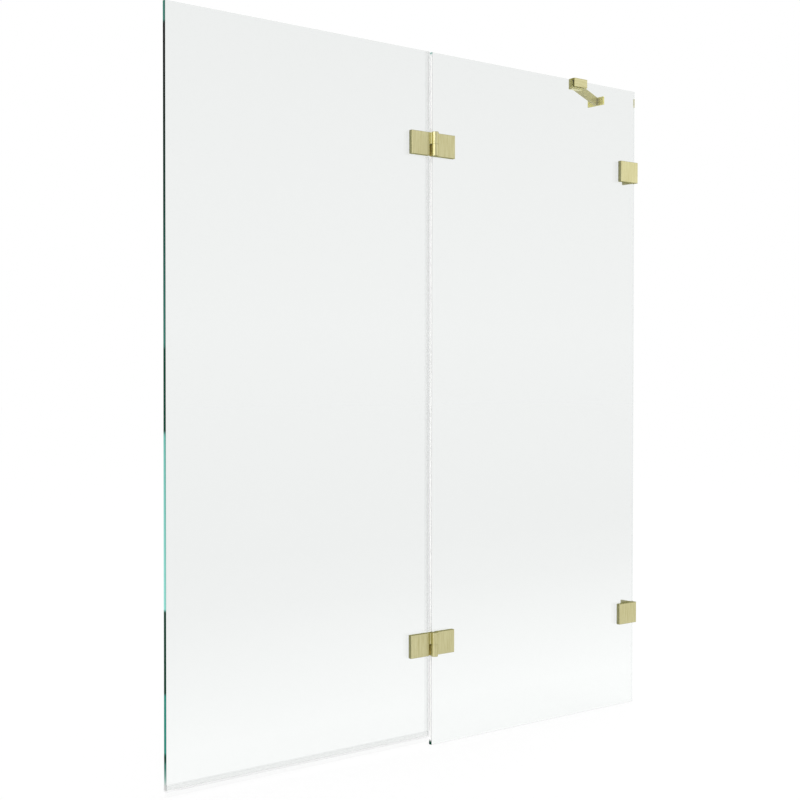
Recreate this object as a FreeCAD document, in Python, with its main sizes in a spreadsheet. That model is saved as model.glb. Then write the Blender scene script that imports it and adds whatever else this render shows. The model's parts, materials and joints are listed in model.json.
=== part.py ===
import FreeCAD, Part
import math
import os
import Sketcher

# Frameless shower door: a fixed pane clamped to the wall and a door pane hinged on it.
# Millimetres, +Z up, +X towards the wall, -Y is the outside. The origin is the middle of the
# fixed pane's bottom edge.

doc = FreeCAD.newDocument("shower_door")
Vector = FreeCAD.Vector
Rotation = FreeCAD.Rotation

# Driving dimensions
dimensions = {
    # panes
    "pane_height": 1500,
    "pane_thickness": 8,
    "pane_arris": 0.5,
    "fixed_width": 647,
    "door_width": 640,
    "door_lift": 22,
    "hinge_gap": 7,
    "wall_gap": 1,
    # hinge leaves and barrel
    "hinge_inset": 200,
    "leaf_width": 49.5,
    "leaf_height": 50,
    "leaf_thickness": 9,
    "leaf_setback": 11,
    "axis_proud": 4.4,
    "web_reach": 5,
    "barrel_radius": 7.5,
    "barrel_blend": 1.5,
    "knuckle_gap": 0.6,
    "pin_radius": 4,
    "pin_end_gap": 1,
    "bush_wall": 1,
    "washer_wall": 2.6,
    "washer_slack": 0.1,
    "cap_thickness": 1,
    "cap_spigot": 3,
    "cap_chamfer": 0.4,
    # fixings through the glass
    "gasket_thickness": 1,
    "gasket_margin": 0.6,
    "screw_offset": 27,
    "screw_pitch": 26,
    "screw_radius": 2.5,
    "screw_grip": 6.5,
    "screw_tip_room": 0.5,
    "screw_head_radius": 4.5,
    "screw_head_height": 3,
    "socket_radius": 1.75,
    "socket_depth": 1.8,
    "glass_hole_radius": 5,
    "back_plate_width": 30,
    "back_plate_height": 36,
    "back_plate_thickness": 5,
    "edge_break": 0.6,
    # wall clamps
    "clamp_width": 60,
    "clamp_height": 50,
    "clamp_thickness": 9,
    "clamp_screw_offset": 21,
    "bracket_height": 48,
    "bracket_thickness": 5,
    "bracket_glass_leg": 34,
    "bracket_wall_leg": 32,
    "wall_hole_radius": 2.75,
    "wall_hole_pitch": 26,
    "wall_hole_setback": 10,
    # stabiliser
    "stabiliser_inset": 191,
    "stabiliser_width": 43,
    "stabiliser_height": 20,
    "stabiliser_bridge": 5,
    "front_jaw": 2,
    "rear_jaw": 5.4,
    "boss_width": 32,
    "boss_depth": 12,
    "boss_drop": 3,
    "liner_thickness": 0.6,
    "grub_radius": 2.5,
    "grub_offset": 12.3,
    "grub_pitch": 8,
    "grub_drop": 7.5,
    "grub_sink": 0.5,
    "arm_thickness": 8,
    "arm_angle": 29,
    "flange_length": 52.5,
    "flange_front": 23.5,
    "flange_thickness": 5,
    "flange_hole_radius": 2.5,
    "flange_hole_pitch": 38,
    # seals
    "seal_leg": 9,
    "seal_wall": 1.2,
    "seal_base": 1.5,
    "fin_thickness": 1.2,
    "fin_tip_gap": 0.5,
    "seal_hinge_gap": 1,
    "bottom_base": 3,
    "wiper_length": 12,
    "wiper_thickness": 1.2,
    "wiper_lean": 3,
    # fits, radial
    "running_clearance": 0.05,
    "snug_clearance": 0.03,
    "loose_clearance": 0.3,
}

sizes = doc.addObject("Spreadsheet::Sheet", "Sizes")
for row, (alias, number) in enumerate(dimensions.items(), start=1):
    sizes.set("A%d" % row, alias)
    sizes.set("B%d" % row, str(number))
    sizes.setAlias("B%d" % row, alias)
doc.recompute()


def value(expression):
    return float(sizes.evalExpression(expression))


def sheet(text):
    # An expression in the sheet's own words: each alias gets the sheet's name in front.
    words = text.replace("(", " ( ").replace(")", " ) ").split()
    return " ".join("Sizes." + word if word in dimensions else word for word in words)


# Places that several pieces share
pane_front = sheet("pane_thickness / 2")
wall_x = sheet("fixed_width / 2 + wall_gap")
gap_x = sheet("- ( fixed_width + hinge_gap ) / 2")
door_edge_x = sheet("- fixed_width / 2 - hinge_gap")
axis_y = sheet("- ( pane_thickness / 2 + gasket_thickness + leaf_thickness + axis_proud )")
hinge_levels = {
    "upper": sheet("pane_height - hinge_inset"),
    "lower": sheet("door_lift + hinge_inset"),
}
pitch_signs = (-1, 1)

nodes = []


# Helpers for bound shapes

def bind_place(item, x, y, z):
    item.setExpression("Placement.Base.x", x)
    item.setExpression("Placement.Base.y", y)
    item.setExpression("Placement.Base.z", z)


def new_body(label, x="0", y="0", z="0"):
    body = doc.addObject("PartDesign::Body", label)
    body.Label = label
    bind_place(body, x, y, z)
    nodes.append(body)
    return body


def origin_plane(body, role):
    return next(item for item in body.Origin.OriginFeatures if item.Role == role)


def outline(body, name, role, corners, level="0"):
    # A closed sketch of straight edges; every corner is bound to the sheet both ways.
    sketch = body.newObject("Sketcher::SketchObject", name)
    sketch.AttachmentSupport = [(origin_plane(body, role), "")]
    sketch.MapMode = "FlatFace"
    sketch.setExpression("AttachmentOffset.Base.z", level)
    points = [Vector(value(x), value(y), 0) for x, y in corners]
    count = len(points)
    for index in range(count):
        sketch.addGeometry(Part.LineSegment(points[index], points[(index + 1) % count]), False)
    for index in range(count):
        sketch.addConstraint(Sketcher.Constraint("Coincident", index, 2, (index + 1) % count, 1))
    for index, corner in enumerate(corners):
        for kind, expression in zip(("DistanceX", "DistanceY"), corner):
            number = sketch.addConstraint(
                Sketcher.Constraint(kind, -1, 1, index, 1, value(expression)))
            sketch.setExpression("Constraints[%d]" % number, expression)
    return sketch


def pad(body, name, sketch, length):
    feature = body.newObject("PartDesign::Pad", name)
    feature.Profile = sketch
    feature.setExpression("Length", length)
    doc.recompute()
    return feature


def slab(body, name, x_range, y_range, z_range):
    # A straight-sided block given by its three ranges.
    (x0, x1), (y0, y1), (z0, z1) = x_range, y_range, z_range
    corners = [(x0, y0), (x1, y0), (x1, y1), (x0, y1)]
    sketch = outline(body, name + "_outline", "XY_Plane", corners, z0)
    return pad(body, name, sketch, "( %s ) - ( %s )" % (z1, z0))


axis_turns = {
    "x": Rotation(Vector(0, 1, 0), 90),
    "y": Rotation(Vector(1, 0, 0), -90),
    "z": Rotation(),
}


def bind_round(item, radius, height, place, axis):
    item.Placement = FreeCAD.Placement(Vector(), axis_turns[axis])
    item.setExpression("Radius", radius)
    item.setExpression("Height", height)
    bind_place(item, *place)
    return item


def add_round(body, name, radius, height, place, axis="z"):
    return bind_round(body.newObject("PartDesign::AdditiveCylinder", name), radius, height, place, axis)


def drill(body, name, radius, height, place, axis):
    before = body.Shape.Volume
    hole = bind_round(body.newObject("PartDesign::SubtractiveCylinder", name), radius, height, place, axis)
    doc.recompute()
    if not body.Shape.Volume < before:
        raise RuntimeError("hole cuts nothing: " + name)
    return hole


def round_bar(name, radius, height, place, axis):
    return bind_round(doc.addObject("Part::Cylinder", name), radius, height, place, axis)


def cut(name, base, tool):
    feature = doc.addObject("Part::Cut", name)
    feature.Base = base
    feature.Tool = tool
    return feature


def fuse(name, base, tool):
    feature = doc.addObject("Part::Fuse", name)
    feature.Base = base
    feature.Tool = tool
    return feature


def group(label, members):
    feature = doc.addObject("Part::Compound", label)
    feature.Label = label
    feature.Links = members
    nodes.append(feature)
    return feature


def edges_where(feature, test):
    names = []
    for number, edge in enumerate(feature.Shape.Edges, start=1):
        if all(test(vertex.Point) for vertex in edge.Vertexes):
            names.append("Edge%d" % number)
    return names


def chamfer(body, name, size, test):
    base = body.Tip
    feature = body.newObject("PartDesign::Chamfer", name)
    feature.Base = (base, edges_where(base, test))
    feature.setExpression("Size", size)
    doc.recompute()
    return feature


def near(first, second):
    return math.isclose(first, second, abs_tol=1e-5)


# Glass panes

def glass_pane(label, width, height, centre_x, foot_z, hole_places):
    body = new_body(label, centre_x, "0", foot_z)
    half = "( %s ) / 2" % width
    slab(body, label + "_blank", ("- " + half, half), ("- " + pane_front, pane_front), ("0", height))
    chamfer(body, label + "_arris", sheet("pane_arris"), lambda point: True)
    for number, (x, z) in enumerate(hole_places, start=1):
        place = ("( %s ) - ( %s )" % (x, centre_x), "- " + pane_front, "( %s ) - ( %s )" % (z, foot_z))
        drill(body, "%s_hole_%d" % (label, number), sheet("glass_hole_radius"),
              sheet("pane_thickness"), place, "y")
    return body


def screw_places(x, level):
    return [(x, "%s + %d * %s" % (level, sign, sheet("screw_pitch / 2"))) for sign in pitch_signs]


def hinge_screw_x(sign):
    return "%s + %d * %s" % (gap_x, sign, sheet("screw_offset"))


clamp_screw_x = "%s - %s" % (wall_x, sheet("clamp_screw_offset"))
hinge_sides = {"door": -1, "fixed": 1}
door_holes = []
fixed_holes = []
for level in hinge_levels.values():
    door_holes += screw_places(hinge_screw_x(hinge_sides["door"]), level)
    fixed_holes += screw_places(hinge_screw_x(hinge_sides["fixed"]), level)
    fixed_holes += screw_places(clamp_screw_x, level)

door_height = sheet("pane_height - door_lift")
door_centre_x = "%s - %s" % (door_edge_x, sheet("door_width / 2"))
glass_pane("fixed_glass", sheet("fixed_width"), sheet("pane_height"), "0", "0", fixed_holes)
glass_pane("door_glass", sheet("door_width"), door_height, door_centre_x, sheet("door_lift"), door_holes)


# Fixings through the glass: sleeves, gaskets and socket screws

def sleeves(label, places):
    members = []
    for number, (x, z) in enumerate(places, start=1):
        name = "%s_%d" % (label, number)
        place = (x, "- " + pane_front, z)
        length = sheet("pane_thickness")
        outer = round_bar(name + "_outer", sheet("glass_hole_radius - snug_clearance"), length, place, "y")
        inner = round_bar(name + "_bore", sheet("screw_radius + snug_clearance"), length, place, "y")
        members.append(cut(name, outer, inner))
    group(label, members)


def gasket(label, x_range, z_range, front_y, places):
    (x0, x1), (z0, z1) = x_range, z_range
    body = new_body(label)
    margin = sheet("gasket_margin")
    slab(body, label + "_sheet", (x0 + " + " + margin, x1 + " - " + margin),
         (front_y, front_y + " + " + sheet("gasket_thickness")),
         (z0 + " + " + margin, z1 + " - " + margin))
    for number, (x, z) in enumerate(places, start=1):
        drill(body, "%s_hole_%d" % (label, number), sheet("screw_radius + loose_clearance"),
              sheet("gasket_thickness"), (x, front_y, z), "y")


def socket_screws(label, places, plate_thickness):
    # Heads sit flush in the plate behind the glass; the threads end inside the front piece.
    rear = sheet("pane_thickness / 2 + gasket_thickness") + " + " + plate_thickness
    tip = sheet("- ( pane_thickness / 2 + gasket_thickness + screw_grip )")
    seat = "%s - %s" % (rear, sheet("screw_head_height"))
    members = []
    for number, (x, z) in enumerate(places, start=1):
        name = "%s_%d" % (label, number)
        shank = round_bar(name + "_shank", sheet("screw_radius"), "%s - ( %s )" % (seat, tip), (x, tip, z), "y")
        head = round_bar(name + "_head", sheet("screw_head_radius"), sheet("screw_head_height"),
                         (x, seat, z), "y")
        blank = fuse(name + "_blank", shank, head)
        socket = doc.addObject("Part::Prism", name + "_socket")
        socket.Polygon = 6
        socket.Placement = FreeCAD.Placement(Vector(), axis_turns["y"])
        socket.setExpression("Circumradius", sheet("socket_radius"))
        socket.setExpression("Height", sheet("socket_depth"))
        bind_place(socket, x, "%s - %s" % (rear, sheet("socket_depth")), z)
        members.append(cut(name, blank, socket))
    group(label, members)


def screw_holes_in_plate(body, places, origin, plate_thickness):
    # Clearance hole and head recess through a plate that lies behind the glass.
    front = sheet("pane_thickness / 2 + gasket_thickness")
    recess = "%s + %s - %s" % (front, plate_thickness, sheet("screw_head_height"))
    for number, (x, z) in enumerate(places, start=1):
        local_x = "( %s ) - ( %s )" % (x, origin[0])
        local_z = "( %s ) - ( %s )" % (z, origin[1])
        drill(body, "%s_screw_hole_%d" % (body.Label, number), sheet("screw_radius + snug_clearance"),
              plate_thickness, (local_x, front, local_z), "y")
        drill(body, "%s_head_recess_%d" % (body.Label, number),
              sheet("screw_head_radius + snug_clearance"), sheet("screw_head_height"),
              (local_x, recess, local_z), "y")


def tapped_holes(body, places, origin):
    # Blind holes from the glass side, in the body's own frame.
    depth = sheet("screw_grip + screw_tip_room")
    rear = sheet("- ( pane_thickness / 2 + gasket_thickness )")
    for number, (x, z) in enumerate(places, start=1):
        place = ("( %s ) - ( %s )" % (x, origin[0]),
                 "( %s ) - ( %s ) - ( %s )" % (rear, depth, origin[1]),
                 "( %s ) - ( %s )" % (z, origin[2]))
        drill(body, "%s_tapped_%d" % (body.Label, number), sheet("screw_radius + snug_clearance"),
              depth, place, "y")


# Hinges: the door's knuckle sits on the fixed one, on a pin pressed into the fixed knuckle

leaf_front = sheet("axis_proud")
leaf_rear = sheet("axis_proud + leaf_thickness")
half_leaf = sheet("leaf_height / 2")
half_knuckle_gap = sheet("knuckle_gap / 2")
leaf_near = sheet("leaf_setback")
leaf_far = sheet("leaf_setback + leaf_width")
front_gasket_y = sheet("- ( pane_thickness / 2 + gasket_thickness )")
bush_bore = sheet("pin_radius + running_clearance")
bush_radius = sheet("pin_radius + running_clearance + bush_wall")
knuckle_bores = {
    "door": bush_radius + " + " + sheet("snug_clearance"),
    "fixed": sheet("pin_radius + snug_clearance"),
}
knuckle_ranges = {
    "door": (half_knuckle_gap, half_leaf),
    "fixed": ("- " + half_leaf, "- " + half_knuckle_gap),
}


def ordered(first, second):
    return (first, second) if value(first) < value(second) else (second, first)


def signed_range(sign, first, second):
    return ordered("%d * ( %s )" % (sign, first), "%d * ( %s )" % (sign, second))


def hinge_leaf(label, side, level):
    sign = hinge_sides[side]
    body = new_body(label, gap_x, axis_y, level)
    slab(body, label + "_plate", signed_range(sign, leaf_near, leaf_far), (leaf_front, leaf_rear),
         ("- " + half_leaf, half_leaf))
    front = value(leaf_front)
    chamfer(body, label + "_edge", sheet("edge_break"), lambda point: near(point.y, front))
    low, high = knuckle_ranges[side]
    overlap = sheet("leaf_setback + 2 * edge_break")
    slab(body, label + "_web", signed_range(sign, "- " + sheet("web_reach"), overlap), (leaf_front, leaf_rear), (low, high))
    height = "( %s ) - ( %s )" % (high, low)
    add_round(body, label + "_barrel", sheet("barrel_radius"), height, ("0", "0", low))
    doc.recompute()
    # The barrel flows into the leaf's face along one upright corner.
    corner_x = sign * math.sqrt(value(sheet("barrel_radius")) ** 2 - front ** 2)
    base = body.Tip
    blend = body.newObject("PartDesign::Fillet", label + "_blend")
    blend.Base = (base, edges_where(base, lambda point: near(point.x, corner_x) and near(point.y, front)))
    blend.setExpression("Radius", sheet("barrel_blend"))
    doc.recompute()
    drill(body, label + "_bore", knuckle_bores[side], height, ("0", "0", low), "z")
    places = screw_places(hinge_screw_x(sign), level)
    tapped_holes(body, places, (gap_x, axis_y, level))


def hinge_back_plate(label, side, level):
    centre_x = hinge_screw_x(hinge_sides[side])
    body = new_body(label, centre_x, "0", level)
    half_width = sheet("back_plate_width / 2")
    half_height = sheet("back_plate_height / 2")
    front = sheet("pane_thickness / 2 + gasket_thickness")
    rear = front + " + " + sheet("back_plate_thickness")
    slab(body, label + "_plate", ("- " + half_width, half_width), (front, rear),
         ("- " + half_height, half_height))
    rear_y = value(rear)
    chamfer(body, label + "_edge", sheet("edge_break"), lambda point: near(point.y, rear_y))
    screw_holes_in_plate(body, screw_places(centre_x, level), (centre_x, level),
                         sheet("back_plate_thickness"))


def hinge_side(prefix, side, level):
    sign = hinge_sides[side]
    stem = "%s_hinge_%s" % (prefix, side)
    places = screw_places(hinge_screw_x(sign), level)
    hinge_leaf(stem + "_leaf", side, level)
    hinge_back_plate(stem + "_back_plate", side, level)
    x_range = tuple("%s + %s" % (gap_x, x) for x in signed_range(sign, leaf_near, leaf_far))
    z_range = ("%s - %s" % (level, half_leaf), "%s + %s" % (level, half_leaf))
    gasket(stem + "_front_gasket", x_range, z_range, front_gasket_y, places)
    centre_x = hinge_screw_x(sign)
    half_width = sheet("back_plate_width / 2")
    half_height = sheet("back_plate_height / 2")
    gasket(stem + "_rear_gasket", ("%s - %s" % (centre_x, half_width), "%s + %s" % (centre_x, half_width)),
           ("%s - %s" % (level, half_height), "%s + %s" % (level, half_height)), pane_front, places)
    sleeves(stem + "_sleeves", places)
    socket_screws(stem + "_screws", places, sheet("back_plate_thickness"))


def barrel_cap(label, level, spigot_radius, upwards):
    body = new_body(label, gap_x, axis_y, level)
    disc_base = half_leaf if upwards else "- %s - %s" % (half_leaf, sheet("cap_thickness"))
    spigot_base = "%s - %s" % (half_leaf, sheet("cap_spigot")) if upwards else "- " + half_leaf
    add_round(body, label + "_disc", sheet("barrel_radius"), sheet("cap_thickness"), ("0", "0", disc_base))
    doc.recompute()
    outer_z = value(half_leaf + " + " + sheet("cap_thickness")) * (1 if upwards else -1)
    chamfer(body, label + "_rim", sheet("cap_chamfer"), lambda point: near(point.z, outer_z))
    add_round(body, label + "_spigot", spigot_radius, sheet("cap_spigot"), ("0", "0", spigot_base))


def hinge_core(prefix, level):
    # Pin, bush, thrust washer and end caps of one barrel.
    stem = prefix + "_hinge_"
    end_room = sheet("cap_spigot + pin_end_gap")
    pin = new_body(stem + "pin", gap_x, axis_y, level)
    add_round(pin, stem + "pin_bar", sheet("pin_radius"), sheet("leaf_height") + " - 2 * ( %s )" % end_room,
              ("0", "0", "%s - %s" % (end_room, half_leaf)))
    bush = new_body(stem + "bush", gap_x, axis_y, level)
    bush_height = "%s - %s - %s" % (half_leaf, half_knuckle_gap, sheet("cap_spigot"))
    add_round(bush, stem + "bush_blank", bush_radius, bush_height, ("0", "0", half_knuckle_gap))
    doc.recompute()
    drill(bush, stem + "bush_bore", bush_bore, bush_height, ("0", "0", half_knuckle_gap), "z")
    washer = new_body(stem + "washer", gap_x, axis_y, level)
    washer_height = sheet("knuckle_gap - washer_slack")
    add_round(washer, stem + "washer_blank", bush_bore + " + " + sheet("washer_wall"), washer_height,
              ("0", "0", "- " + half_knuckle_gap))
    doc.recompute()
    drill(washer, stem + "washer_bore", bush_bore, washer_height, ("0", "0", "- " + half_knuckle_gap), "z")
    barrel_cap(stem + "top_cap", level, bush_radius, True)
    barrel_cap(stem + "bottom_cap", level, sheet("pin_radius"), False)


for prefix, level in hinge_levels.items():
    for side in hinge_sides:
        hinge_side(prefix, side, level)
    hinge_core(prefix, level)


# Wall clamps: a front plate and an angle bracket grip the fixed pane's edge

bracket_front = sheet("pane_thickness / 2 + gasket_thickness")
bracket_rear = bracket_front + " + " + sheet("bracket_wall_leg")


def wall_clamp(prefix, level):
    stem = prefix + "_wall_clamp_"
    places = screw_places(clamp_screw_x, level)
    half_height = sheet("clamp_height / 2")
    plate_front = sheet("- ( pane_thickness / 2 + gasket_thickness + clamp_thickness )")
    plate = new_body(stem + "front_plate", wall_x, "0", level)
    slab(plate, stem + "plate", ("- " + sheet("clamp_width"), "0"), (plate_front, front_gasket_y),
         ("- " + half_height, half_height))
    front_y = value(plate_front)
    chamfer(plate, stem + "plate_edge", sheet("edge_break"), lambda point: near(point.y, front_y))
    tapped_holes(plate, places, (wall_x, "0", level))

    half_bracket = sheet("bracket_height / 2")
    bracket = new_body(stem + "bracket", wall_x, "0", level)
    inner_x = "- " + sheet("bracket_thickness")
    inner_y = bracket_front + " + " + sheet("bracket_thickness")
    far_x = "- " + sheet("bracket_glass_leg")
    corners = [(far_x, bracket_front), ("0", bracket_front), ("0", bracket_rear), (inner_x, bracket_rear),
               (inner_x, inner_y), (far_x, inner_y)]
    pad(bracket, stem + "angle",
        outline(bracket, stem + "angle_outline", "XY_Plane", corners, "- " + half_bracket),
        sheet("bracket_height"))
    screw_holes_in_plate(bracket, places, (wall_x, level), sheet("bracket_thickness"))
    for number, sign in enumerate(pitch_signs, start=1):
        drill(bracket, "%swall_hole_%d" % (stem, number), sheet("wall_hole_radius"),
              sheet("bracket_thickness"),
              (inner_x, "%s - %s" % (bracket_rear, sheet("wall_hole_setback")),
               "%d * %s" % (sign, sheet("wall_hole_pitch / 2"))), "x")

    pane_edge_x = sheet("fixed_width / 2")
    gasket(stem + "front_gasket", ("%s - %s" % (wall_x, sheet("clamp_width")), pane_edge_x),
           ("%s - %s" % (level, half_height), "%s + %s" % (level, half_height)), front_gasket_y, places)
    gasket(stem + "rear_gasket", ("%s - %s" % (wall_x, sheet("bracket_glass_leg")), pane_edge_x),
           ("%s - %s" % (level, half_bracket), "%s + %s" % (level, half_bracket)), pane_front, places)
    sleeves(stem + "sleeves", places)
    socket_screws(stem + "screws", places, sheet("bracket_thickness"))


for prefix, level in hinge_levels.items():
    wall_clamp(prefix, level)


# Stabiliser: a clamp over the top edge with a boss behind it, an arm on edge and a wall flange

stabiliser_x = sheet("fixed_width / 2 - stabiliser_inset")
slot_y = sheet("pane_thickness / 2 + liner_thickness")
jaw_rear = slot_y + " + " + sheet("rear_jaw")
clamp_rear = jaw_rear + " + " + sheet("boss_depth")
clamp_front = slot_y + " + " + sheet("front_jaw")
clamp_top = sheet("liner_thickness + stabiliser_bridge")
clamp_foot = "%s - %s" % (clamp_top, sheet("stabiliser_height"))
boss_foot = "%s - %s" % (clamp_foot, sheet("boss_drop"))
half_clamp = sheet("stabiliser_width / 2")
half_boss = sheet("boss_width / 2")
arm_foot = "%s + %s" % (sheet("pane_height"), clamp_foot)

clamp = new_body("stabiliser_clamp", stabiliser_x, "0", sheet("pane_height"))
clamp_corners = [("- ( %s )" % clamp_front, clamp_foot), ("- ( %s )" % slot_y, clamp_foot),
                 ("- ( %s )" % slot_y, sheet("liner_thickness")), (slot_y, sheet("liner_thickness")),
                 (slot_y, clamp_foot), (jaw_rear, clamp_foot), (jaw_rear, clamp_top),
                 ("- ( %s )" % clamp_front, clamp_top)]
pad(clamp, "stabiliser_clamp_blank",
    outline(clamp, "stabiliser_clamp_outline", "YZ_Plane", clamp_corners, "- " + half_clamp),
    sheet("stabiliser_width"))
slab(clamp, "stabiliser_clamp_boss", ("- " + half_boss, half_boss), (jaw_rear, clamp_rear),
     (boss_foot, clamp_top))
clamp_front_y = -value(clamp_front)
clamp_top_z = value(clamp_top)
chamfer(clamp, "stabiliser_clamp_edge", sheet("edge_break"),
        lambda point: near(point.y, clamp_front_y) or near(point.z, clamp_top_z))

liner = new_body("stabiliser_liner", stabiliser_x, "0", sheet("pane_height"))
liner_corners = [("- ( %s )" % slot_y, clamp_foot), ("- " + pane_front, clamp_foot), ("- " + pane_front, "0"),
                 (pane_front, "0"), (pane_front, clamp_foot), (slot_y, clamp_foot),
                 (slot_y, sheet("liner_thickness")), ("- ( %s )" % slot_y, sheet("liner_thickness"))]
pad(liner, "stabiliser_liner_strip",
    outline(liner, "stabiliser_liner_outline", "YZ_Plane", liner_corners, "- " + half_clamp),
    sheet("stabiliser_width"))

grub_length = sheet("rear_jaw + boss_depth - grub_sink")
grub_x = "- " + sheet("grub_offset")
grubs = []
for number, sign in enumerate(pitch_signs, start=1):
    local_z = "%d * %s - %s" % (sign, sheet("grub_pitch / 2"), sheet("grub_drop"))
    drill(clamp, "stabiliser_grub_hole_%d" % number, sheet("grub_radius + snug_clearance"),
          sheet("rear_jaw + boss_depth"), (grub_x, slot_y, local_z), "y")
    name = "stabiliser_grub_%d" % number
    place = ("%s %s" % (stabiliser_x, grub_x), slot_y, "%s + %s" % (sheet("pane_height"), local_z))
    stud = round_bar(name + "_stud", sheet("grub_radius"), grub_length, place, "y")
    socket = doc.addObject("Part::Prism", name + "_socket")
    socket.Polygon = 6
    socket.Placement = FreeCAD.Placement(Vector(), axis_turns["y"])
    socket.setExpression("Circumradius", sheet("socket_radius"))
    socket.setExpression("Height", sheet("socket_depth"))
    bind_place(socket, place[0], "%s + %s - %s" % (slot_y, grub_length, sheet("socket_depth")), place[2])
    grubs.append(cut(name, stud, socket))
group("stabiliser_grub_screws", grubs)

flange_face_x = "%s - %s" % (wall_x, sheet("flange_thickness"))
arm_run = "( %s - ( %s ) )" % (flange_face_x, stabiliser_x)
arm_end_y = "%s + %s * tan(%s * 1 deg )" % (clamp_rear, arm_run, sheet("arm_angle"))
arm_half_start = "%s / 2 / sin(%s * 1 deg )" % (sheet("arm_thickness"), sheet("arm_angle"))
arm_half_end = "%s / 2 / cos(%s * 1 deg )" % (sheet("arm_thickness"), sheet("arm_angle"))
arm = new_body("stabiliser_arm", "0", "0", arm_foot)
arm_corners = [("%s - %s" % (stabiliser_x, arm_half_start), clamp_rear),
               ("%s + %s" % (stabiliser_x, arm_half_start), clamp_rear),
               (flange_face_x, "%s - %s" % (arm_end_y, arm_half_end)),
               (flange_face_x, "%s + %s" % (arm_end_y, arm_half_end))]
pad(arm, "stabiliser_arm_strap", outline(arm, "stabiliser_arm_outline", "XY_Plane", arm_corners),
    sheet("stabiliser_height"))

flange = new_body("stabiliser_wall_flange", flange_face_x, arm_end_y, arm_foot)
flange_low = "- " + sheet("flange_front")
flange_high = sheet("flange_length - flange_front")
slab(flange, "stabiliser_flange_plate", ("0", sheet("flange_thickness")), (flange_low, flange_high),
     ("0", sheet("stabiliser_height")))
chamfer(flange, "stabiliser_flange_edge", sheet("edge_break"), lambda point: near(point.x, 0))
flange_middle = sheet("flange_length / 2 - flange_front")
for number, sign in enumerate(pitch_signs, start=1):
    hole_y = "%s + %d * %s" % (flange_middle, sign, sheet("flange_hole_pitch / 2"))
    drill(flange, "stabiliser_flange_hole_%d" % number, sheet("flange_hole_radius"),
          sheet("flange_thickness"), ("0", hole_y, sheet("stabiliser_height / 2")), "x")


# Seals that clip on the door pane

def channel(leg, wall, base):
    # Half of a clip-on channel's section: along the glass edge, and away from it.
    return "- " + leg, pane_front + " + " + wall, base


def hinge_seal(label, foot, head):
    # The channel grips the upright edge; its fin closes the gap to the fixed pane.
    leg, outer, base = channel(sheet("seal_leg"), sheet("seal_wall"), sheet("seal_base"))
    body = new_body(label, door_edge_x, "0", foot)
    fin = sheet("fin_thickness / 2")
    tip = sheet("hinge_gap - fin_tip_gap")
    corners = [(leg, "- ( %s )" % outer), (base, "- ( %s )" % outer), (base, "- " + fin), (tip, "- " + fin),
               (tip, fin), (base, fin), (base, outer), (leg, outer), (leg, pane_front), ("0", pane_front),
               ("0", "- " + pane_front), (leg, "- " + pane_front)]
    pad(body, label + "_strip", outline(body, label + "_outline", "XY_Plane", corners),
        "( %s ) - ( %s )" % (head, foot))


seal_foot = sheet("door_lift + seal_leg")
hinge_room = sheet("leaf_height / 2 + seal_hinge_gap")
seal_ranges = {
    "hinge_seal_lower": (seal_foot, "%s - ( %s )" % (hinge_levels["lower"], hinge_room)),
    "hinge_seal_middle": ("%s + %s" % (hinge_levels["lower"], hinge_room),
                          "%s - ( %s )" % (hinge_levels["upper"], hinge_room)),
    "hinge_seal_upper": ("%s + %s" % (hinge_levels["upper"], hinge_room), sheet("pane_height")),
}
for label, (foot, head) in seal_ranges.items():
    hinge_seal(label, foot, head)

bottom_seal = new_body("bottom_seal", "%s - %s" % (door_edge_x, sheet("door_width")), "0", sheet("door_lift"))
leg, outer, base = channel(sheet("seal_leg"), sheet("seal_wall"), sheet("bottom_base"))
leg_top = sheet("seal_leg")
base_foot = "- " + base
wiper_tip = "%s - %s" % (base_foot, sheet("wiper_length"))
wiper_half = sheet("wiper_thickness / 2")
lean = sheet("wiper_lean")
bottom_corners = [("- ( %s )" % outer, leg_top), ("- ( %s )" % outer, base_foot), ("- " + wiper_half, base_foot),
                  ("%s - %s" % (lean, wiper_half), wiper_tip), ("%s + %s" % (lean, wiper_half), wiper_tip),
                  (wiper_half, base_foot), (outer, base_foot), (outer, leg_top), (pane_front, leg_top),
                  (pane_front, "0"), ("- " + pane_front, "0"), ("- " + pane_front, leg_top)]
pad(bottom_seal, "bottom_seal_strip",
    outline(bottom_seal, "bottom_seal_outline", "YZ_Plane", bottom_corners), sheet("door_width"))

# Every object has to be sound before anything is written
doc.recompute()
for item in doc.Objects:
    if "Invalid" in item.State or "Error" in item.State:
        raise RuntimeError("failed: %s %s" % (item.Label, item.State))
for node in nodes:
    if node.Shape.isNull() or not node.Shape.isValid() or not node.Shape.Solids:
        raise RuntimeError("bad shape: " + node.Label)

os.makedirs("parts", exist_ok=True)
for node in nodes:
    node.Shape.exportStep(os.path.join("parts", node.Label + ".step"))
print(len(nodes), "sub-parts written")
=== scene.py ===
import bpy
import json
import math
from mathutils import Matrix, Vector


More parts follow.
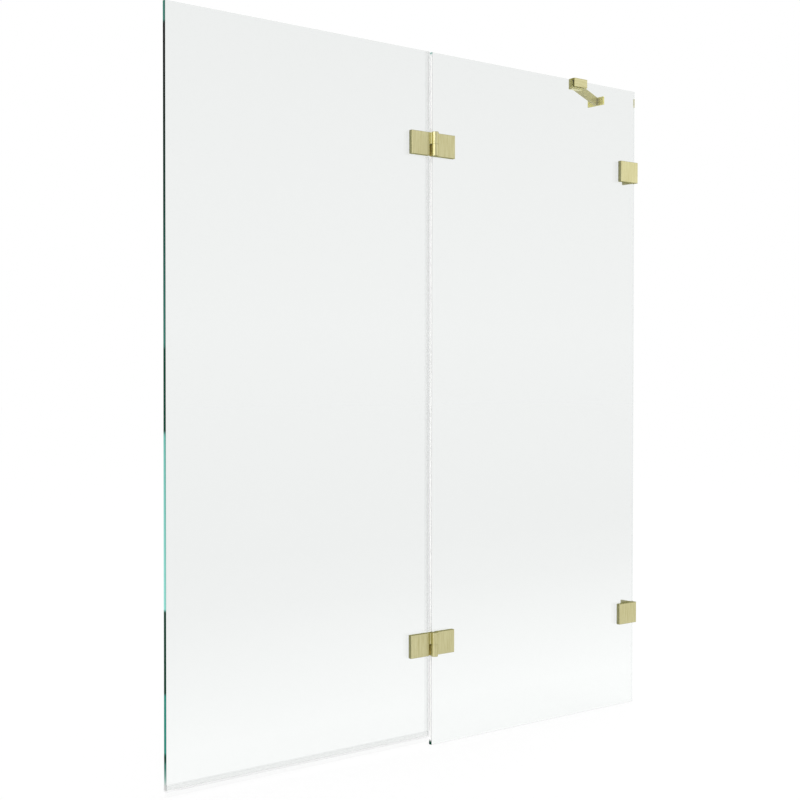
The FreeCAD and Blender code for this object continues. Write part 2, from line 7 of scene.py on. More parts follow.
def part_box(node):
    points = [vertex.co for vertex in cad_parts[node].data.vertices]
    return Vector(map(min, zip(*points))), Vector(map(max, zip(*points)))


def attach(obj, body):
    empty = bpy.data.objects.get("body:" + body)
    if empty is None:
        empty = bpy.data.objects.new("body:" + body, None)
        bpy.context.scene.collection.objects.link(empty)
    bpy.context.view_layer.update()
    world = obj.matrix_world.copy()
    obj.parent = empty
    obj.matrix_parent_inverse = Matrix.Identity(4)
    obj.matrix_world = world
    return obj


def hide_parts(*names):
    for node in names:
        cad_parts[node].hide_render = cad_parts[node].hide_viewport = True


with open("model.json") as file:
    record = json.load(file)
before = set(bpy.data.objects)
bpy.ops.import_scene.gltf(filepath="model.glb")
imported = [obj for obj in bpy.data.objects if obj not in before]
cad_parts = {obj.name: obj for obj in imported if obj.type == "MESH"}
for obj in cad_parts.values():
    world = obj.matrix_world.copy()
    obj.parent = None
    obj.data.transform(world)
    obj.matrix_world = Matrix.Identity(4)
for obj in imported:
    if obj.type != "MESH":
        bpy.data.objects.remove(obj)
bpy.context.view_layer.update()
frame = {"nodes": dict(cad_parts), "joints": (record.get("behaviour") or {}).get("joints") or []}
scene = bpy.context.scene
nodes = frame["nodes"]
print("frame loaded:", len(nodes), "nodes")


# node tree helpers

def addNode(tree, kind, **settings):
    node = tree.nodes.new(kind)
    for key, setting in settings.items():
        setattr(node, key, setting)
    return node


def join(tree, source, target):
    tree.links.new(source, target)


def feed(tree, node, items):
    # each input takes another node's output, or a fixed value of its own
    for label, item in items.items():
        if isinstance(item, bpy.types.NodeSocket):
            join(tree, item, node.inputs[label])
        else:
            node.inputs[label].default_value = item


def addMath(tree, operation, first, second=0.0):
    node = addNode(tree, "ShaderNodeMath", operation=operation)
    feed(tree, node, {0: first, 1: second})
    return node.outputs[0]


def addMean(tree, first, second):
    return addMath(tree, "MULTIPLY", addMath(tree, "ADD", first, second), 0.5)


def addRange(tree, value, low, high, reach=(0.0, 1.0), curve="LINEAR"):
    node = addNode(tree, "ShaderNodeMapRange", interpolation_type=curve)
    feed(tree, node, {"Value": value, "From Min": reach[0], "From Max": reach[1],
                      "To Min": low, "To Max": high})
    return node.outputs["Result"]


def addColourMix(tree, factor, first, second, blend="MIX"):
    node = addNode(tree, "ShaderNodeMix", data_type="RGBA", blend_type=blend)
    feed(tree, node, {"Factor": factor, "A": first, "B": second})
    return node.outputs["Result"]


def addRamp(tree, factor, stops):
    # colour bands along a share from 0 to 1
    ramp = addNode(tree, "ShaderNodeValToRGB")
    elements = ramp.color_ramp.elements
    while len(elements) < len(stops):
        elements.new(1.0)
    for element, (place, colour) in zip(elements, stops):
        element.position = place
        element.color = (*colour, 1.0)
    join(tree, factor, ramp.inputs[0])
    return ramp.outputs["Color"]


def splitVector(tree, vector):
    node = addNode(tree, "ShaderNodeSeparateXYZ")
    join(tree, vector, node.inputs[0])
    return node.outputs


def splitNormal(tree):
    return splitVector(tree, addNode(tree, "ShaderNodeTexCoord").outputs["Normal"])


def mixShaders(tree, factor, first, second):
    node = addNode(tree, "ShaderNodeMixShader")
    feed(tree, node, {0: factor, 1: first, 2: second})
    return node.outputs[0]


def newMaterial(name):
    material = bpy.data.materials.new(name)
    material.use_nodes = True
    tree = material.node_tree
    return material, tree, tree.nodes["Principled BSDF"]


def objectCoord(tree):
    return addNode(tree, "ShaderNodeTexCoord").outputs["Object"]


def showShader(tree, shader, output="Material Output"):
    join(tree, shader, tree.nodes[output].inputs["Surface"])


def newGroup(name, kind, inputs, outputs):
    tree = bpy.data.node_groups.new(name, kind)
    for way, sockets in (("INPUT", inputs), ("OUTPUT", outputs)):
        for label, socket in sockets.items():
            tree.interface.new_socket(label, in_out=way, socket_type="NodeSocket" + socket)
    return tree, addNode(tree, "NodeGroupInput").outputs, addNode(tree, "NodeGroupOutput").inputs


def placeGroup(tree, group, coord, **values):
    node = addNode(tree, "ShaderNodeGroup", node_tree=group)
    feed(tree, node, {"Coord": coord, **values})
    return node.outputs


# surface effects shared by several materials

grainSettings = {"detail": 4.0, "roughness": 0.62, "fineScale": 6.0, "spread": (-0.6, 1.6)}
mottleSettings = {"detail": 3.0}


def makeGrain():
    # stretched noise: fine lines along the way the piece was brushed or drawn
    tree, given, out = newGroup("drawnGrain", "ShaderNodeTree", {"Coord": "Vector", "Frequency": "Vector"},
                                {"Grain": "Float", "Fine": "Float"})
    stretched = addNode(tree, "ShaderNodeVectorMath", operation="MULTIPLY")
    feed(tree, stretched, {0: given["Coord"], 1: given["Frequency"]})
    for label, scale in (("Grain", 1.0), ("Fine", grainSettings["fineScale"])):
        noise = addNode(tree, "ShaderNodeTexNoise")
        feed(tree, noise, {"Vector": stretched.outputs[0], "Scale": scale, "Detail": grainSettings["detail"],
                           "Roughness": grainSettings["roughness"]})
        join(tree, addRange(tree, noise.outputs["Fac"], *grainSettings["spread"]), out[label])
    return tree


def makeMottle():
    # slow uneven patches: handling on metal, a waver in the painted shade on glass, chalk on rubber
    tree, given, out = newGroup("slowMottle", "ShaderNodeTree", {"Coord": "Vector", "Scale": "Float"},
                                {"Mask": "Float"})
    noise = addNode(tree, "ShaderNodeTexNoise")
    feed(tree, noise, {"Vector": given["Coord"], "Scale": given["Scale"], "Detail": mottleSettings["detail"]})
    join(tree, noise.outputs["Fac"], out["Mask"])
    return tree


drawnGrain = makeGrain()
slowMottle = makeMottle()


# brushed brass

brassLook = {
    "deep": (0.469, 0.426, 0.207, 1.0),
    "pale": (0.683, 0.655, 0.392, 1.0),
    "grazing": (0.72, 0.7, 0.42, 1.0),
    # painted shade: the plates' sides and ends are multiplied darker
    "plateSideShade": (0.52, 0.53, 0.5, 1.0),
    # painted shade: the block's ends are multiplied darker
    "blockSideShade": (0.34, 0.33, 0.16, 1.0),
    # painted shade: a dark brown, matt colour in the recess beside the pin
    "recess": (0.5, 0.37, 0.08, 1.0),
    # painted light: the block's rear behind the glass is pale and matt so it reads light
    "blockRearLight": (0.98, 0.93, 0.5, 1.0),
    "satinMetal": 0.2,
    "satinShine": 0.12,
    # the arm's tone darkens the brass: painted shade; the flange's tone lightens it: painted light
    "armShadeTone": (0.79, 0.77, 0.5),
    "armMetal": 0.45,
    "flangeLightTone": (1.15, 1.13, 0.6),
    "uprightLines": (360.0, 360.0, 20.0),
    "levelLines": (22.0, 360.0, 360.0),
    "grainShare": 0.8,
    "mottleShare": 0.2,
    "mottleScale": 35.0,
    "roughness": (0.26, 0.38),
    "bumpStrength": 0.05,
    "bumpHeight": 0.0003,
    # least part of the normal along X or Z at which a face counts as a side or an end, which takes painted
    # shade
    "sideNormal": 0.9,
    "endNormal": 0.5,
    "barrelReach": 0.0095,  # along X from the barrels' axis, with the blend into the leaf
    "recessFront": -0.0145,  # within that reach, sides behind this belong to the recess beside the pin, which takes painted shade
}
barrelX = frame["joints"][0]["pos_m"][0]  # the door turns about both barrels
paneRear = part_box("fixed_glass")[1].y


def beyond(tree, value, limit):
    # 1 where a value is further from 0 than the limit, either way
    return addMath(tree, "GREATER_THAN", addMath(tree, "ABSOLUTE", value), limit)


def plateMasks(tree, normal, place):
    # painted shade on the sides and ends of the plates, and on the recess beside the pin; the turned barrels
    # have neither
    sideways = beyond(tree, normal["X"], brassLook["sideNormal"])
    level = beyond(tree, normal["Z"], brassLook["endNormal"])
    beside = beyond(tree, addMath(tree, "SUBTRACT", place["X"], barrelX), brassLook["barrelReach"])
    behind = addMath(tree, "GREATER_THAN", place["Y"], brassLook["recessFront"])
    within = addMath(tree, "MULTIPLY", behind, addMath(tree, "SUBTRACT", 1.0, beside))
    shadedSidesAndEnds = addMath(tree, "MAXIMUM", addMath(tree, "MULTIPLY", sideways, beside), level)
    return shadedSidesAndEnds, addMath(tree, "MULTIPLY", sideways, within)


def blockMasks(tree, normal, place):
    # painted shade on the ends of the block, and painted light on all of it that lies behind the glass
    sideways = beyond(tree, normal["X"], brassLook["sideNormal"])
    return sideways, addMath(tree, "GREATER_THAN", place["Y"], paneRear)


def paintSideShadeAndLight(tree, shader, coord, colour, masks, recessOrRearColour, sides):
    # painted shade and light: the recess beside the pin, or the part of the block behind the glass, takes a
    # matt colour of its own with less metal, and sides and ends are painted darker
    shadedSidesAndEnds, paintedRecessOrRear = masks(tree, splitNormal(tree), splitVector(tree, coord))
    join(tree, addRange(tree, paintedRecessOrRear, 1.0, brassLook["satinMetal"]), shader.inputs["Metallic"])
    withRecessOrRear = addColourMix(tree, paintedRecessOrRear, colour, recessOrRearColour)
    return addColourMix(tree, shadedSidesAndEnds, withRecessOrRear, sides, "MULTIPLY")


def toned(colour, tone):
    return [part * share for part, share in zip(colour, (*tone, 1.0))]


def makeBrass(name, lines, tone=(1.0, 1.0, 1.0), metal=1.0, sideShading=None):
    material, tree, shader = newMaterial(name)
    coord = objectCoord(tree)
    grain = placeGroup(tree, drawnGrain, coord, Frequency=lines)
    mottle = placeGroup(tree, slowMottle, coord, Scale=brassLook["mottleScale"])
    blend = addMath(tree, "ADD", addMath(tree, "MULTIPLY", grain["Grain"], brassLook["grainShare"]),
                    addMath(tree, "MULTIPLY", mottle["Mask"], brassLook["mottleShare"]))
    bump = addNode(tree, "ShaderNodeBump")
    feed(tree, bump, {"Strength": brassLook["bumpStrength"], "Distance": brassLook["bumpHeight"],
                      "Height": grain["Fine"]})
    feed(tree, shader, {
        "Metallic": metal,
        "Roughness": addRange(tree, grain["Fine"], *brassLook["roughness"]),
        "Specular Tint": brassLook["grazing"],
        "Specular IOR Level": brassLook["satinShine"],
        "Normal": bump.outputs["Normal"],
    })
    colour = addColourMix(tree, blend, toned(brassLook["deep"], tone), toned(brassLook["pale"], tone))
    if sideShading:
        colour = paintSideShadeAndLight(tree, shader, coord, colour, *sideShading)
    join(tree, colour, shader.inputs["Base Color"])
    return material


# painted shade on the sides and ends of the plates and the block and in the recess beside the pin, and
# painted light on the block behind the glass
brassPlates = makeBrass("brushedBrassPlates", brassLook["uprightLines"],
                        sideShading=(plateMasks, brassLook["recess"], brassLook["plateSideShade"]))
brassBlock = makeBrass("brushedBrassBlock", brassLook["levelLines"],
                       sideShading=(blockMasks, brassLook["blockRearLight"], brassLook["blockSideShade"]))
# darker and lighter copies of the brass for the arm and the flange: painted shade and painted light
shadedBrassArm = makeBrass("shadedSatinBrassArm", brassLook["levelLines"],
                     brassLook["armShadeTone"], brassLook["armMetal"])
litBrassFlange = makeBrass("litSatinBrassFlange", brassLook["levelLines"],
                        brassLook["flangeLightTone"], brassLook["satinMetal"])


# small hardware: stainless steel, nylon and rubber

plainLooks = {
    "stainlessSteel": {"low": (0.42, 0.42, 0.41, 1.0), "high": (0.6, 0.6, 0.58, 1.0), "metallic": 1.0,
                       "roughness": (0.22, 0.4), "lines": (900.0, 60.0, 900.0), "mottleScale": 90.0},
    "naturalNylon": {"low": (0.66, 0.66, 0.61, 1.0), "high": (0.78, 0.78, 0.73, 1.0), "metallic": 0.0,
                     "roughness": (0.4, 0.55), "lines": (300.0, 300.0, 300.0), "mottleScale": 90.0},
    "darkRubber": {"low": (0.05, 0.05, 0.046, 1.0), "high": (0.095, 0.095, 0.088, 1.0), "metallic": 0.0,
                   "roughness": (0.55, 0.8), "lines": (500.0, 500.0, 500.0), "mottleScale": 90.0},
    # painted light: the liner's tan is lightened to a bright yellow so the slot in the clamp reads light
    "litLinerRubber": {"low": (0.82, 0.75, 0.15, 1.0), "high": (0.94, 0.87, 0.2, 1.0), "metallic": 0.0,
                  "roughness": (0.55, 0.8), "lines": (500.0, 500.0, 500.0), "mottleScale": 90.0},
}


def paintGrain(tree, shader, coord, look):
    # colour and roughness that follow the drawn lines, with slow patches
    grain = placeGroup(tree, drawnGrain, coord, Frequency=look["lines"])
    mottle = placeGroup(tree, slowMottle, coord, Scale=look["mottleScale"])
    blend = addMean(tree, grain["Grain"], mottle["Mask"])
    feed(tree, shader, {"Base Color": addColourMix(tree, blend, look["low"], look["high"]),
                        "Roughness": addRange(tree, grain["Fine"], *look["roughness"])})


def makePlain(name):
    material, tree, shader = newMaterial(name)
    paintGrain(tree, shader, objectCoord(tree), plainLooks[name])
    shader.inputs["Metallic"].default_value = plainLooks[name]["metallic"]
    return material


stainlessSteel = makePlain("stainlessSteel")
naturalNylon = makePlain("naturalNylon")
darkRubber = makePlain("darkRubber")
litLinerRubber = makePlain("litLinerRubber")


# clear glass: the faces, tinted by height as painted shade, and the polished edges that look green from
# outside, in bands of painted reflection

glassLook = {
    "tint": (1.0, 1.0185, 1.0093),
    # height in metres, and the glass tint there: painted shade, lighter at the foot and darker towards
    # mid-height
    "heightShade": [(0.0, 0.948), (0.09, 0.948), (0.15, 0.922), (0.25, 0.884), (0.35, 0.85), (0.45, 0.839),
                  (0.6, 0.853), (0.9, 0.871), (1.3, 0.855), (1.5, 0.845)],
    "mottleScale": 2.5,
    "waver": 0.01,  # share of the height by which the patches shift the painted shade
    "ior": 1.5,
    "shadow": (0.9, 0.92, 0.91, 1.0),
}
edgeLook = {
    "ior": 1.05,
    "roughness": (0.072, 0.168),
    "lines": (700.0, 700.0, 40.0),
    # the edge tones are painted reflection, in bands of dark and pale green
    "tones": {
        # painted shade: pale grey low on the door's free edge, where the seal's end sits
        "sealShade": (0.6, 0.61, 0.6),
        "mist": (0.35, 0.515, 0.47),
        "haze": (0.18, 0.345, 0.3),
        "black": (0.001, 0.001, 0.001),
        "night": (0.001, 0.012, 0.007),
        "slate": (0.004, 0.038, 0.026),
        "bottle": (0.004, 0.052, 0.03),
        "moss": (0.045, 0.19, 0.15),
        "leaf": (0.025, 0.26, 0.2),
        "aqua": (0.155, 0.49, 0.42),
        "paleAqua": (0.285, 0.715, 0.63),
        # painted light: the faces at the seam between the panes are pale and glow, though they are no lamp
        "litSeam": (0.93, 0.93, 0.925),
    },
    "paintedGlows": {"litSeam": (0.09, 0.092, 0.091)},
    # height in metres, tone there, up the left and the right edge of each pane: partly the glass's own green,
    # and the bands of dark and pale are painted reflection
    "doorLeft": [(0.033, "sealShade"), (0.037, "mist"), (0.0485, "haze"), (0.066, "moss"), (0.0735, "moss"),
                 (0.077, "bottle"), (0.087, "bottle"), (0.0925, "leaf"), (0.201, "leaf"),
                 (0.2035, "bottle"), (0.3575, "bottle"), (0.3625, "paleAqua"), (0.69, "aqua"),
                 (0.6945, "bottle"), (0.851, "bottle"), (0.8575, "moss"), (1.13, "slate"),
                 (1.314, "night"), (1.4585, "black"), (1.4635, "moss")],
    "doorRight": [(0.0, "litSeam"), (1.499, "litSeam"), (1.5, "moss")],
    "fixedLeft": [(0.0075, "bottle"), (0.0085, "litSeam"), (1.499, "litSeam"), (1.5, "aqua")],
    "fixedRight": [(0.0, "bottle"), (0.001, "aqua"), (1.5, "aqua")],
    "arrisNormal": -0.3,  # the front arris looks further forwards than this
    "arrisShade": (0.5, 0.5, 0.5, 1.0),
    "inside": (0.95, 0.97, 0.96, 1.0),
}
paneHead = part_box("fixed_glass")[1].z


def letLampsThrough(tree, shader, tint):
    # rays to lamps pass the pane, so its shadow stays light
    clear = addNode(tree, "ShaderNodeBsdfTransparent")
    clear.inputs["Color"].default_value = tint
    path = addNode(tree, "ShaderNodeLightPath")
    return mixShaders(tree, path.outputs["Is Shadow Ray"], shader, clear.outputs[0])


def setGlass(tree, shader):
    feed(tree, shader, {"Transmission Weight": 1.0, "Roughness": 0.0, "IOR": glassLook["ior"]})


def heightShare(tree, coord):
    # 0 at the foot of the fixed pane, 1 at its head
    return addMath(tree, "DIVIDE", splitVector(tree, coord)["Z"], paneHead)


def makeGlassFace():
    material, tree, shader = newMaterial("clearGlassFace")
    coord = objectCoord(tree)
    setGlass(tree, shader)
    mottle = placeGroup(tree, slowMottle, coord, Scale=glassLook["mottleScale"])
    waver = addRange(tree, mottle["Mask"], -glassLook["waver"], glassLook["waver"])
    share = addMath(tree, "ADD", heightShare(tree, coord), waver)
    # the tint follows the height: painted shade
    stops = [(height / paneHead, [shade * part for part in glassLook["tint"]])
             for height, shade in glassLook["heightShade"]]
    join(tree, addRamp(tree, share, stops), shader.inputs["Base Color"])
    showShader(tree, letLampsThrough(tree, shader.outputs[0], glassLook["shadow"]))
    return material


def edgeTones(tree, coord, onRight, sides, tones):
    # bands of tone up both edges of a pane, which are painted reflection; a band without a tone of its own
    # stays black
    share = heightShare(tree, coord)
    ramps = []
    for bands in sides:
        stops = [(height / paneHead, tones.get(tone, (0.0, 0.0, 0.0))) for height, tone in bands]
        ramps.append(addRamp(tree, share, stops))
    return addColourMix(tree, onRight, *ramps)


def makeGlassEdge(name, node, *sides):
    material, tree, shader = newMaterial(name)
    coord = objectCoord(tree)
    low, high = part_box(node)
    onRight = addMath(tree, "GREATER_THAN", splitVector(tree, coord)["X"], 0.5 * (low.x + high.x))
    onArris = addMath(tree, "LESS_THAN", splitNormal(tree)["Y"], edgeLook["arrisNormal"])
    bands = edgeTones(tree, coord, onRight, sides, edgeLook["tones"])
    grain = placeGroup(tree, drawnGrain, coord, Frequency=edgeLook["lines"])
    feed(tree, shader, {
        "Base Color": addColourMix(tree, onArris, bands, edgeLook["arrisShade"], "MULTIPLY"),
        # painted light: the seam faces glow
        "Emission Color": edgeTones(tree, coord, onRight, sides, edgeLook["paintedGlows"]),
        "Emission Strength": 1.0,
        "Roughness": addRange(tree, grain["Fine"], *edgeLook["roughness"]),
        "IOR": edgeLook["ior"],
    })
    inner = addNode(tree, "ShaderNodeBsdfPrincipled")  # the same edge met from inside the pane
    setGlass(tree, inner)
    inner.inputs["Base Color"].default_value = edgeLook["inside"]
    fromInside = addNode(tree, "ShaderNodeNewGeometry").outputs["Backfacing"]
    showShader(tree, mixShaders(tree, fromInside, shader.outputs[0], inner.outputs[0]))
    return material


glassFace = makeGlassFace()
doorEdge = makeGlassEdge("polishedDoorEdge", "door_glass", edgeLook["doorLeft"], edgeLook["doorRight"])
fixedEdge = makeGlassEdge("polishedFixedEdge", "fixed_glass", edgeLook["fixedLeft"], edgeLook["fixedRight"])


# translucent soft plastic of the clip-on seals

wiperSettings = {"thickness": 0.0012, "lean": 0.003, "length": 0.012}
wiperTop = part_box("bottom_seal")[0].z + wiperSettings["length"]
sealLook = {
    "low": (0.58, 0.6, 0.595, 1.0),
    "high": (0.66, 0.68, 0.675, 1.0),
    "roughness": (0.2, 0.34),
    "lines": (60.0, 60.0, 4.0),
    "mottleScale": 14.0,
    # what passes through: the lips, the thick rim, the thin edges and the wiper blade
    "wallTint": (0.974, 0.974, 0.974, 1.0),
    "rimTint": (0.89, 0.89, 0.89, 1.0),
    "fineTint": (0.984, 0.984, 0.984, 1.0),
    "wiperTint": (0.99, 0.99, 0.99, 1.0),
    "alpha": 0.4,
    "sheen": 0.04,
    "ior": 1.4,
}


def makeSeal(name, tint):
    material, tree, shader = newMaterial(name)
    coord = objectCoord(tree)
    paintGrain(tree, shader, coord, sealLook)
    feed(tree, shader, {"IOR": sealLook["ior"], "Alpha": sealLook["alpha"]})
    aboveWiper = addMath(tree, "GREATER_THAN", splitVector(tree, coord)["Z"], wiperTop)
    clear = addNode(tree, "ShaderNodeBsdfTransparent")
    join(tree, addColourMix(tree, aboveWiper, sealLook["wiperTint"], tint), clear.inputs["Color"])
    showShader(tree, mixShaders(tree, sealLook["sheen"], clear.outputs[0], shader.outputs[0]))
    return material


sealWall = makeSeal("softSealWall", sealLook["wallTint"])
sealRim = makeSeal("softSealRim", sealLook["rimTint"])
sealFine = makeSeal("softSealFine", sealLook["fineTint"])
print("materials made:", len(bpy.data.materials))


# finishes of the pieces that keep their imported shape

def finishOf(node):
    if "screws" in node or node.endswith("_pin"):
        return stainlessSteel
    if "gasket" in node:
        return darkRubber
    if "liner" in node:
        return litLinerRubber
    if node.endswith(("_sleeves", "_bush")):
        return naturalNylon
    if node.startswith("stabiliser"):
        return {"stabiliser_clamp": brassBlock, "stabiliser_arm": shadedBrassArm}.get(node, litBrassFlange)
    return brassPlates


for node, piece in nodes.items():
    piece.data.materials.clear()
    piece.data.materials.append(finishOf(node))


# a drawn section: an outline with rounded corners, pulled along Z to a length

sectionSettings = {"mergeDistance": 1e-6, "faceNormal": 0.97}


def addStep(tree, kind, geometry, inputs=None, **settings):
    # a node that takes the geometry of the step before it
    node = addNode(tree, kind, **settings)
    feed(tree, node, {0: geometry, **(inputs or {})})
    return node.outputs[0]


def makeDrawnSection():
    tree, given, out = newGroup("drawnSection", "GeometryNodeTree", {
        "Geometry": "Geometry",
        "Corner Radius": "Float",
        "Corner Steps": "Int",
        "Length": "Float",
        "Turn": "Rotation",
        "Place": "Vector",
        "Face Material": "Material",
        "Edge Material": "Material",
    }, {"Geometry": "Geometry"})

    curve = addStep(tree, "GeometryNodeMeshToCurve", given["Geometry"])
    rounded = addStep(tree, "GeometryNodeFilletCurve", curve, {
        "Radius": given["Corner Radius"], "Count": given["Corner Steps"], "Limit Radius": True}, mode="POLY")
    cap = addStep(tree, "GeometryNodeFillCurve", rounded, mode="NGONS")
    rise = addNode(tree, "ShaderNodeCombineXYZ")
    join(tree, given["Length"], rise.inputs["Z"])
    pulled = addStep(tree, "GeometryNodeExtrudeMesh", cap, {
        "Offset": rise.outputs[0], "Individual": False}, mode="FACES")
    underside = addStep(tree, "GeometryNodeFlipFaces", cap)
    both = addNode(tree, "GeometryNodeJoinGeometry")
    for part in (pulled, underside):
        join(tree, part, both.inputs[0])
    closed = addStep(tree, "GeometryNodeMergeByDistance", both.outputs[0], {
        "Distance": sectionSettings["mergeDistance"]})
    moved = addStep(tree, "GeometryNodeTransform", closed, {
        "Rotation": given["Turn"], "Translation": given["Place"]})
    real = addStep(tree, "GeometryNodeRealizeInstances", moved)

    # faces that don't look along Y are the edge
    normal = splitVector(tree, addNode(tree, "GeometryNodeInputNormal").outputs["Normal"])
    edgeFaces = addNode(tree, "FunctionNodeCompare", operation="LESS_THAN")
    feed(tree, edgeFaces, {"A": addMath(tree, "ABSOLUTE", normal["Y"]), "B": sectionSettings["faceNormal"]})
    painted = addStep(tree, "GeometryNodeSetMaterial", real, {"Material": given["Face Material"]})
    edged = addStep(tree, "GeometryNodeSetMaterial", painted, {
        "Selection": edgeFaces.outputs[0], "Material": given["Edge Material"]})
    join(tree, edged, out["Geometry"])
    return tree


drawnSection = makeDrawnSection()


def drawSection(name, corners, settings):
    count = len(corners)
    sides = [(i, (i + 1) % count) for i in range(count)]
    outline = bpy.data.meshes.new(name + "Outline")
    outline.from_pydata([(x, y, 0.0) for x, y in corners], sides, [])
    base = bpy.data.objects.new(name + "Base", outline)
    scene.collection.objects.link(base)
    modifier = base.modifiers.new("drawnSection", "NODES")
    modifier.node_group = drawnSection
    for item in drawnSection.interface.items_tree:
        if item.in_out == "INPUT" and item.name in settings:
            modifier[item.identifier] = settings[item.name]
    graph = bpy.context.evaluated_depsgraph_get()
    plain = bpy.data.meshes.new_from_object(base.evaluated_get(graph))
    bpy.data.objects.remove(base)
    piece = bpy.data.objects.new(name, plain)
    scene.collection.objects.link(piece)
    return piece


# glass panes with a fine polished arris down both sides

paneSettings = {"arris": 0.0007, "corner": 0.0002, "cornerSteps": 2}
panes = {
    "door_glass": ("doorPane", "door", doorEdge),
    "fixed_glass": ("fixedPane", "fixed_side", fixedEdge),
}

for node, (name, body, edgeFinish) in panes.items():
    low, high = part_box(node)
    half = 0.5 * (high - low)
    frontX = half.x - paneSettings["arris"]
    sideY = paneSettings["arris"] - half.y
    corners = [(-frontX, -half.y), (frontX, -half.y), (half.x, sideY), (half.x, half.y),
               (-half.x, half.y), (-half.x, sideY)]
    pane = drawSection(name, corners, {
        "Corner Radius": paneSettings["corner"],
        "Corner Steps": paneSettings["cornerSteps"],
        "Length": high.z - low.z,
        "Place": (low.x + half.x, low.y + half.y, low.z),
        "Face Material": glassFace,
        "Edge Material": edgeFinish,
    })
    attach(pane, body)
    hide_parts(node)
print("panes drawn")


# clip-on seals of the door, drawn with soft corners and held a hair off the glass

sealSettings = {
    "gripGap": 0.00008,  # between a lip and the glass
    "seatGap": 0.0001,  # between the channel's floor and the glass
    "halfFin": 0.0006,
    "base": 0.0015,
    "corner": 0.0005,
    "cornerSteps": 3,
}
doorLow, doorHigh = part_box("door_glass")
grip = doorHigh.y + sealSettings["gripGap"]


def drawSeal(name, section, edgeFinish, run):
    return drawSection(name, section, {
        "Corner Radius": sealSettings["corner"],
        "Corner Steps": sealSettings["cornerSteps"],
        "Face Material": sealWall,
        "Edge Material": edgeFinish,
        **run,
    })


def drawHingeSeal(node, name):
    low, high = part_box(node)
    outer = high.y
    fin = sealSettings["halfFin"]
    seat = doorHigh.x + sealSettings["seatGap"]
    base = doorHigh.x + sealSettings["base"]
    section = [(low.x, -outer), (base, -outer), (base, -fin), (high.x, -fin), (high.x, fin), (base, fin),
               (base, outer), (low.x, outer), (low.x, grip), (seat, grip), (seat, -grip), (low.x, -grip)]
    return drawSeal(name, section, sealFine, {"Length": high.z - low.z, "Place": (0.0, 0.0, low.z)})


def drawBottomSeal(node, name):
    low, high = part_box(node)
    outer = high.y
    seat = doorLow.z - sealSettings["seatGap"]
    half = 0.5 * wiperSettings["thickness"]
    lean = wiperSettings["lean"]
    # outline in Y and Z, pulled along X
    section = [(-outer, high.z), (-outer, wiperTop), (-half, wiperTop), (lean - half, low.z),
               (lean + half, low.z), (half, wiperTop), (outer, wiperTop), (outer, high.z),
               (grip, high.z), (grip, seat), (-grip, seat), (-grip, high.z)]
    return drawSeal(name, section, sealRim, {
        "Length": high.x - low.x, "Turn": (math.pi / 2, 0.0, math.pi / 2), "Place": (low.x, 0.0, 0.0)})


seals = {}
for part in ("upper", "middle", "lower"):
    node = "hinge_seal_" + part
    seals[node] = drawHingeSeal(node, "hingeSeal" + part.title())
seals["bottom_seal"] = drawBottomSeal("bottom_seal", "bottomSeal")
for node, seal in seals.items():
    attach(seal, "door")
    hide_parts(node)
print("seals drawn:", len(seals))


# studio: white floor that keeps a shadow, and white surroundings with one soft glow

studio = {
    "white": (1.0, 1.0, 1.0, 1.0),
    "fill": 1.0,
    "floorSize": 60.0,
    "floorDrop": 0.001,
    "floorRoughness": 0.9,
    "floorWhite": 0.85,  # share of plain white where the floor is seen; the rest takes the shadow
    "glowTowards": (0.83, -0.53, 0.174),
    "glowReach": (0.968, 0.994),  # cosine of the angle from there where the glow starts and is full
    "glowStrength": 1.78,
    "metalWhite": 0.89,  # what metal mirrors outside the glow
}


def seenDirectly(tree):
    # camera, mirror and see-through rays
    path = addNode(tree, "ShaderNodeLightPath").outputs
    both = addMath(tree, "MAXIMUM", path["Is Camera Ray"], path["Is Glossy Ray"])
    return addMath(tree, "MAXIMUM", both, path["Is Transmission Ray"])


def surroundingsInMetal(tree):
    # what brushed metal mirrors, against plain white: slightly grey, with a soft glow off to the right
    direction = addNode(tree, "ShaderNodeTexCoord").outputs["Generated"]
    towards = addNode(tree, "ShaderNodeVectorMath", operation="DOT_PRODUCT")
    feed(tree, towards, {0: direction, 1: studio["glowTowards"]})
    glow = addRange(tree, towards.outputs["Value"], studio["metalWhite"] - 1.0, studio["glowStrength"] - 1.0,
                    studio["glowReach"], "SMOOTHSTEP")
    path = addNode(tree, "ShaderNodeLightPath").outputs
    reflected = addMath(tree, "GREATER_THAN", path["Glossy Depth"], 0.0)
    brushed = addMath(tree, "MAXIMUM", addMath(tree, "SUBTRACT", reflected, path["Is Singular Ray"]), 0.0)
    return addMath(tree, "MULTIPLY", glow, brushed)


def makeWorld():
    world = bpy.data.worlds.new("whiteStudio")
    world.use_nodes = True
    tree = world.node_tree
    fill = tree.nodes["Background"]
    feed(tree, fill, {"Color": studio["white"], "Strength": studio["fill"]})
    surroundings = addNode(tree, "ShaderNodeBackground")
    feed(tree, surroundings, {"Color": studio["white"],
                              "Strength": addMath(tree, "ADD", surroundingsInMetal(tree), 1.0)})
    showShader(tree, mixShaders(tree, seenDirectly(tree), fill.outputs[0], surroundings.outputs[0]),
               "World Output")
    scene.world = world


def makeFloor():
    half = 0.5 * studio["floorSize"]
    plan = ((-half, -half), (half, -half), (half, half), (-half, half))
    mesh = bpy.data.meshes.new("studioFloor")
    mesh.from_pydata([(x, y, -studio["floorDrop"]) for x, y in plan], [], [(0, 1, 2, 3)])
    floor = bpy.data.objects.new("studioFloor", mesh)
    scene.collection.objects.link(floor)
    material, tree, shader = newMaterial("whiteFloor")
    feed(tree, shader, {"Base Color": studio["white"], "Roughness": studio["floorRoughness"],
                        "Specular IOR Level": 0.0})
    glow = addNode(tree, "ShaderNodeEmission")
    share = addMath(tree, "MULTIPLY", seenDirectly(tree), studio["floorWhite"])
    showShader(tree, mixShaders(tree, share, shader.outputs[0], glow.outputs[0]))
    mesh.materials.append(material)


makeWorld()
makeFloor()


# lamps: a soft key that only lights matt surfaces, and two at the left that only show in reflections

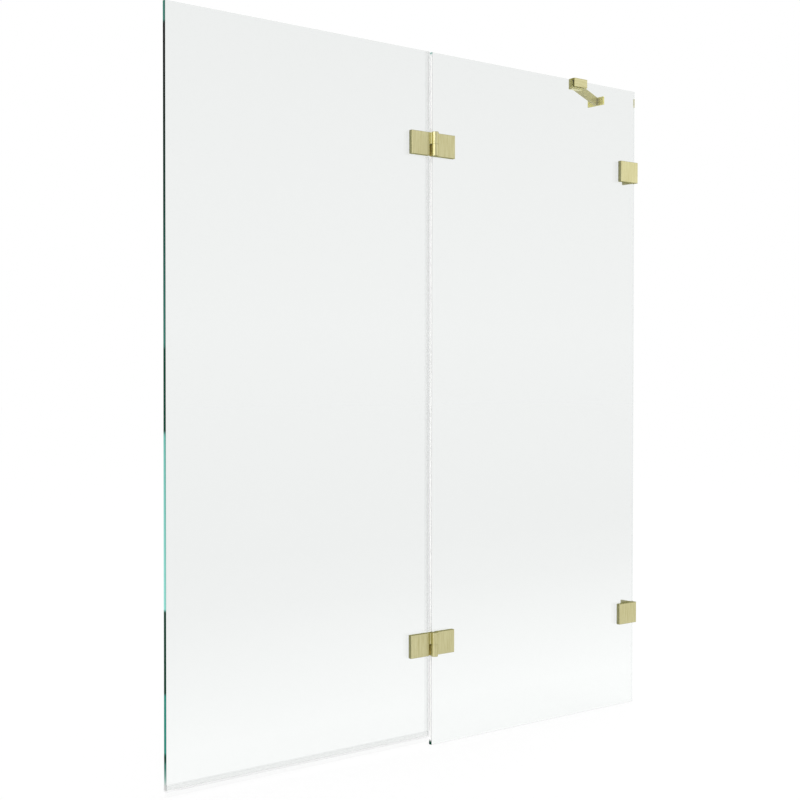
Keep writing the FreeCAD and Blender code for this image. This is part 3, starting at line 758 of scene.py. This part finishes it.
lamps = {
    "keyLamp": {"place": (1.8, -3.4, 3.2), "target": (-0.2, 0.0, 0.8), "size": (2.6, 2.6), "power": 70.0,
                "hiddenFrom": ("camera", "glossy", "transmission")},
    "sideLamp": {"place": (-1.3, 0.08, 0.85), "target": (0.0, 0.08, 0.85), "size": (1.65, 1.8), "power": 4.5,
                 "hiddenFrom": ("camera", "diffuse", "transmission")},
    "upperSideLamp": {"place": (-1.3, 0.08, 1.55), "target": (0.0, 0.08, 1.55), "size": (1.65, 0.7),
                      "power": 4.0, "hiddenFrom": ("camera", "diffuse", "transmission")},
}


def addLamp(name, settings):
    data = bpy.data.lights.new(name, "AREA")
    data.shape = "RECTANGLE"
    data.size, data.size_y = settings["size"]
    data.energy = settings["power"]
    lamp = bpy.data.objects.new(name, data)
    place = Vector(settings["place"])
    turn = (Vector(settings["target"]) - place).to_track_quat("-Z", "Y").to_matrix().to_4x4()
    lamp.matrix_world = Matrix.Translation(place) @ turn
    for rays in settings["hiddenFrom"]:
        setattr(lamp, "visible_" + rays, False)
    scene.collection.objects.link(lamp)


for name, settings in lamps.items():
    addLamp(name, settings)
print("studio lit:", len(lamps), "lamps")


# camera at the photograph's place

cameraSettings = {
    "place": (-2.19387, -2.24888, 0.79553),
    "yaw": 0.6711,
    "pitch": 0.0157,
    "roll": 0.001,
    "lens": 60.7176,
    "sensor": 36.0,
}


def addCamera():
    data = bpy.data.cameras.new("photoCamera")
    data.sensor_fit = "HORIZONTAL"
    data.sensor_width = cameraSettings["sensor"]
    data.lens = cameraSettings["lens"]
    camera = bpy.data.objects.new("photoCamera", data)
    turn = (Matrix.Rotation(-cameraSettings["yaw"], 4, "Z")
            @ Matrix.Rotation(math.pi / 2 - cameraSettings["pitch"], 4, "X")
            @ Matrix.Rotation(cameraSettings["roll"], 4, "Z"))
    camera.matrix_world = Matrix.Translation(cameraSettings["place"]) @ turn
    scene.collection.objects.link(camera)
    scene.camera = camera


addCamera()
scene.view_settings.view_transform = "Standard"
print("camera placed")
